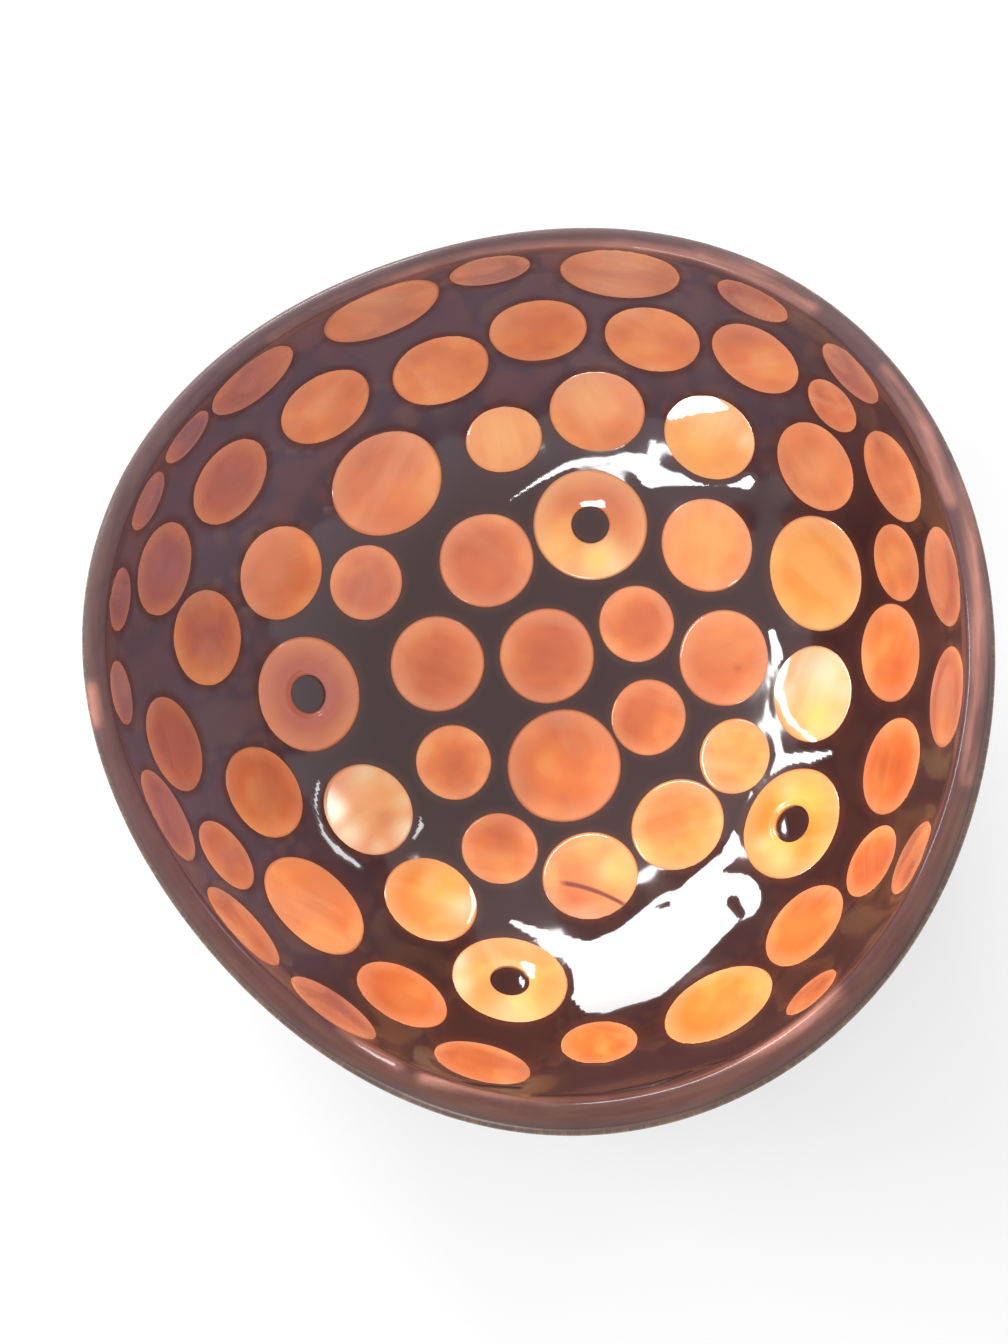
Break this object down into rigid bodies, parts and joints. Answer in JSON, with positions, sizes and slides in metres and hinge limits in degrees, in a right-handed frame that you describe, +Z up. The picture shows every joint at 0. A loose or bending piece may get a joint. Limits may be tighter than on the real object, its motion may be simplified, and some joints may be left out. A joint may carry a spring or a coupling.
{
  "type": "coconut shell bowl",
  "caption": "Round bowl cut from a coconut shell, its inside lined with dark lacquer and inlaid all over with round discs of dyed sea shell, some of them rings.",
  "frame": {"origin": "centre of the flat sanded on the bottom, which the bowl stands on", "axes": "+Z up, out of the mouth of the bowl; +X to the right and +Y away from the viewer in the picture, which looks almost straight down"},
  "size_m": [0.1324, 0.1316, 0.0558],
  "materials": {
    "coconut": "polished",
    "lacquer": "gloss",
    "salmon_shell": "polished",
    "amber_shell": "polished"
  },
  "bodies": {
    "root": {"coconut_shell": "coconut", "lacquer_lining": "lacquer", "ring_disc_01": "amber_shell", "ring_disc_02": "salmon_shell", "ring_disc_03": "amber_shell", "ring_disc_04": "amber_shell", "large_disc_01": "salmon_shell", "large_disc_02": "salmon_shell", "large_disc_03": "salmon_shell", "large_disc_04": "amber_shell", "large_disc_05": "salmon_shell", "large_disc_06": "salmon_shell", "large_disc_07": "amber_shell", "medium_disc_01": "salmon_shell", "medium_disc_02": "salmon_shell", "medium_disc_03": "salmon_shell", "medium_disc_04": "salmon_shell", "medium_disc_05": "salmon_shell", "medium_disc_06": "salmon_shell", "medium_disc_07": "salmon_shell", "medium_disc_08": "amber_shell", "medium_disc_09": "salmon_shell", "medium_disc_10": "salmon_shell", "medium_disc_11": "salmon_shell", "medium_disc_12": "salmon_shell", "medium_disc_13": "salmon_shell", "medium_disc_14": "salmon_shell", "medium_disc_15": "salmon_shell", "medium_disc_16": "salmon_shell", "medium_disc_17": "salmon_shell", "medium_disc_18": "salmon_shell", "medium_disc_19": "salmon_shell", "medium_disc_20": "salmon_shell", "medium_disc_21": "salmon_shell", "medium_disc_22": "amber_shell", "medium_disc_23": "salmon_shell", "medium_disc_24": "salmon_shell", "medium_disc_25": "salmon_shell", "medium_disc_26": "salmon_shell", "medium_disc_27": "salmon_shell", "medium_disc_28": "salmon_shell", "medium_disc_29": "amber_shell", "medium_disc_30": "salmon_shell", "medium_disc_31": "amber_shell", "medium_disc_32": "salmon_shell", "medium_disc_33": "salmon_shell", "medium_disc_34": "salmon_shell", "medium_disc_35": "salmon_shell", "medium_disc_36": "salmon_shell", "small_disc_01": "salmon_shell", "small_disc_02": "salmon_shell", "small_disc_03": "salmon_shell", "small_disc_04": "amber_shell", "small_disc_05": "salmon_shell", "small_disc_06": "salmon_shell", "small_wall_discs": "salmon_shell", "tiny_rim_discs": "salmon_shell"}
  },
  "joints": []
}
